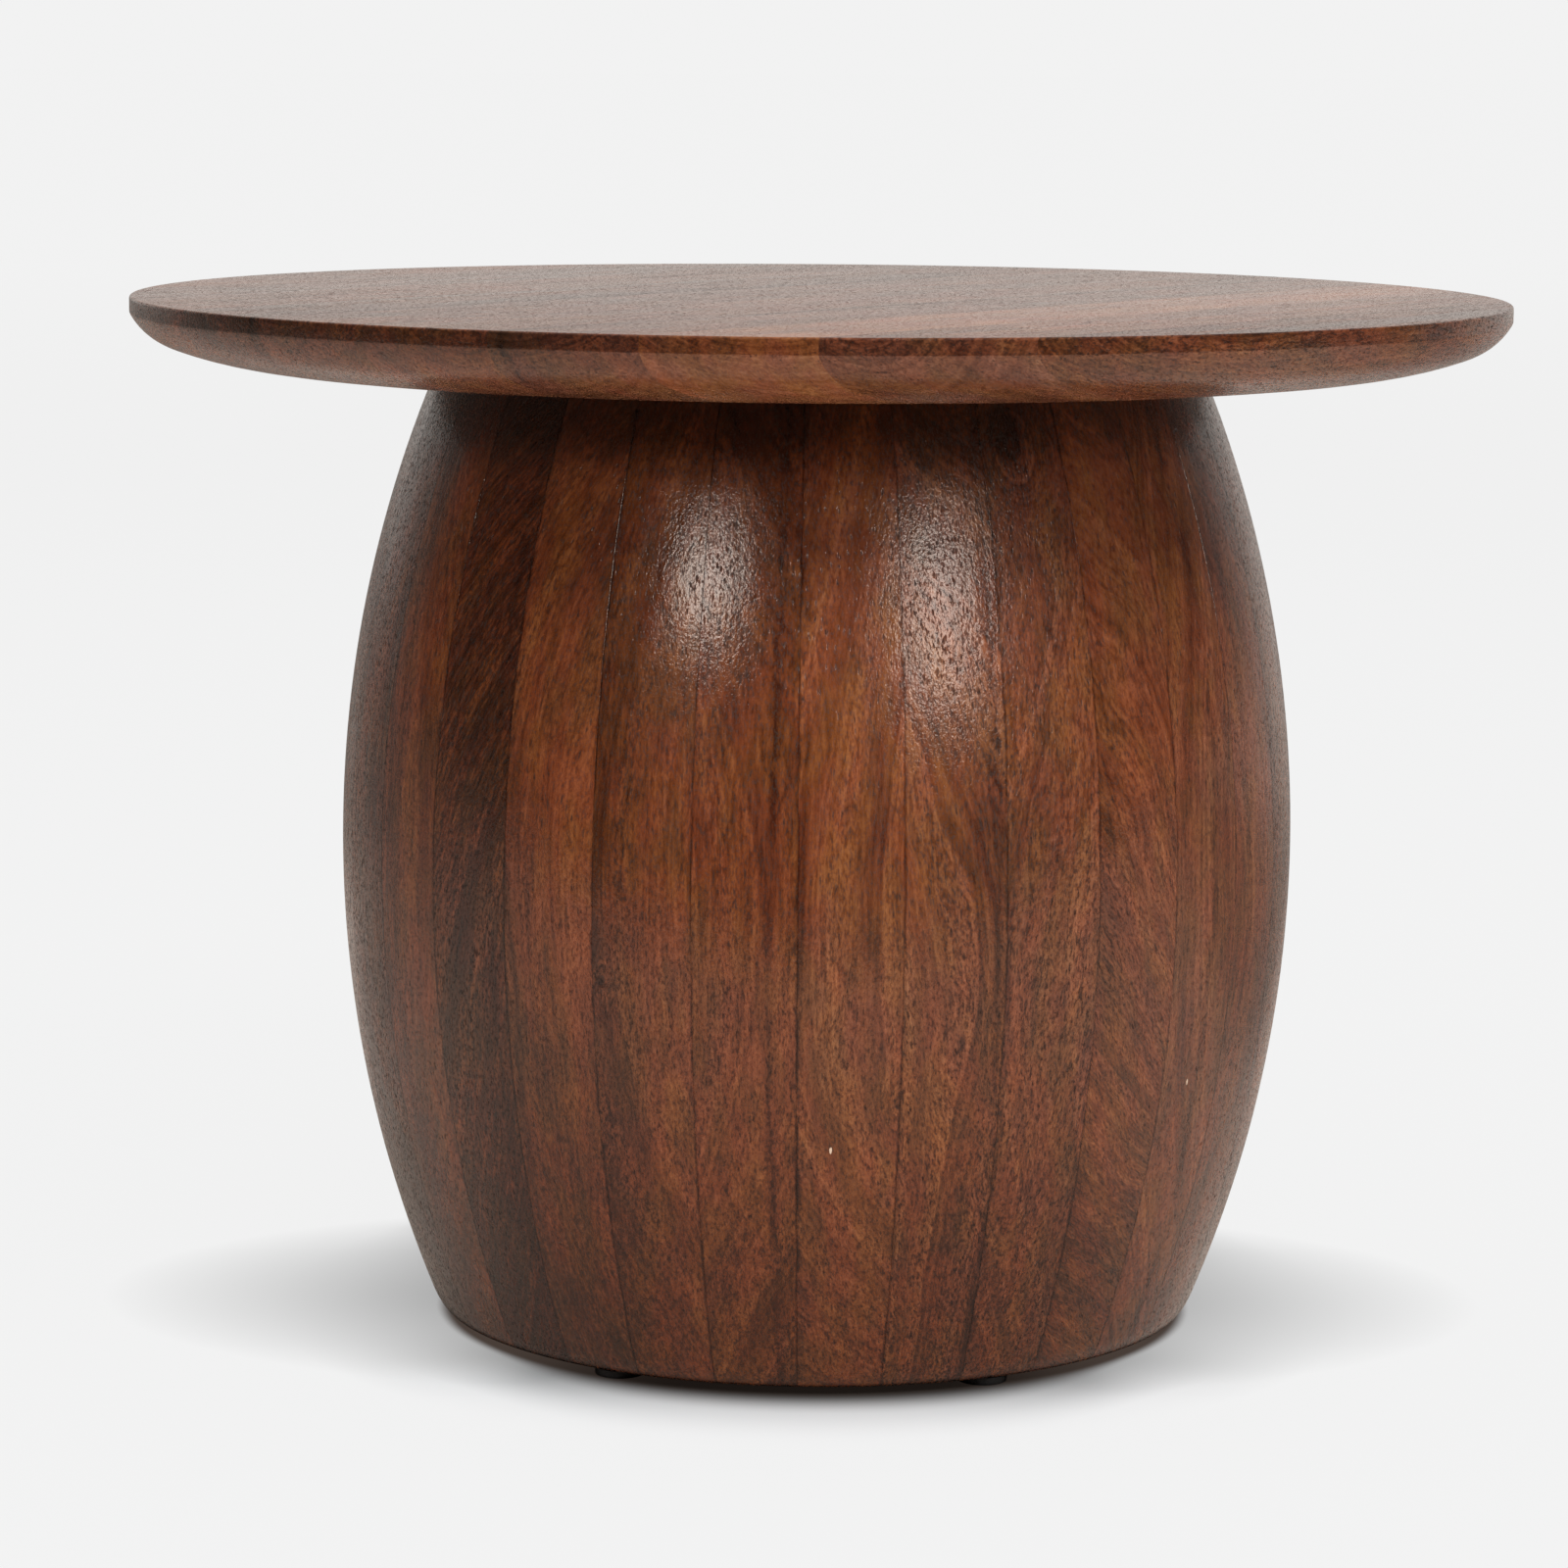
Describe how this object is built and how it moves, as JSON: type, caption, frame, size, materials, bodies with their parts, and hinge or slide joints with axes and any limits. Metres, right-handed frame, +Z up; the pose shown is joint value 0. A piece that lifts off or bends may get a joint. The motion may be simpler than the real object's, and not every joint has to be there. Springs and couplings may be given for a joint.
{
  "type": "round accent table",
  "caption": "Low round accent table: a solid wood disc top with an undercut edge on a barrel-shaped staved drum, to stand beside a seat.",
  "frame": {"origin": "on the floor, below the centre of the top", "axes": "+Z up along the table's round axis; -Y is the side the picture was taken from; the table is round, so the front is only the side that was pictured"},
  "size_m": [0.508, 0.508, 0.381],
  "materials": {
    "mango_drum": "brown-stained mango wood, open pores, satin lacquer",
    "mango_top": "brown-stained mango wood, open pores, satin lacquer",
    "plywood": "unfinished birch plywood",
    "zinc_steel": "zinc-plated steel",
    "black_nylon": "black nylon",
    "nail_steel": "bright steel"
  },
  "bodies": {
    "root": {"stave_01": "mango_drum", "stave_02": "mango_drum", "stave_03": "mango_drum", "stave_04": "mango_drum", "stave_05": "mango_drum", "stave_06": "mango_drum", "stave_07": "mango_drum", "stave_08": "mango_drum", "stave_09": "mango_drum", "stave_10": "mango_drum", "stave_11": "mango_drum", "stave_12": "mango_drum", "stave_13": "mango_drum", "stave_14": "mango_drum", "stave_15": "mango_drum", "stave_16": "mango_drum", "stave_17": "mango_drum", "stave_18": "mango_drum", "stave_19": "mango_drum", "stave_20": "mango_drum", "stave_21": "mango_drum", "stave_22": "mango_drum", "stave_23": "mango_drum", "stave_24": "mango_drum", "stave_25": "mango_drum", "stave_26": "mango_drum", "stave_27": "mango_drum", "stave_28": "mango_drum", "stave_29": "mango_drum", "stave_30": "mango_drum", "top_board_01": "mango_top", "top_board_02": "mango_top", "top_board_03": "mango_top", "top_board_04": "mango_top", "top_board_05": "mango_top", "top_board_06": "mango_top", "top_board_07": "mango_top", "top_board_08": "mango_top", "top_board_09": "mango_top", "top_board_10": "mango_top", "fixing_plate": "plywood", "plate_screws": "zinc_steel", "top_screws": "zinc_steel", "top_screw_washers": "zinc_steel", "foot_glides": "black_nylon", "glide_nails": "nail_steel"}
  },
  "joints": []
}
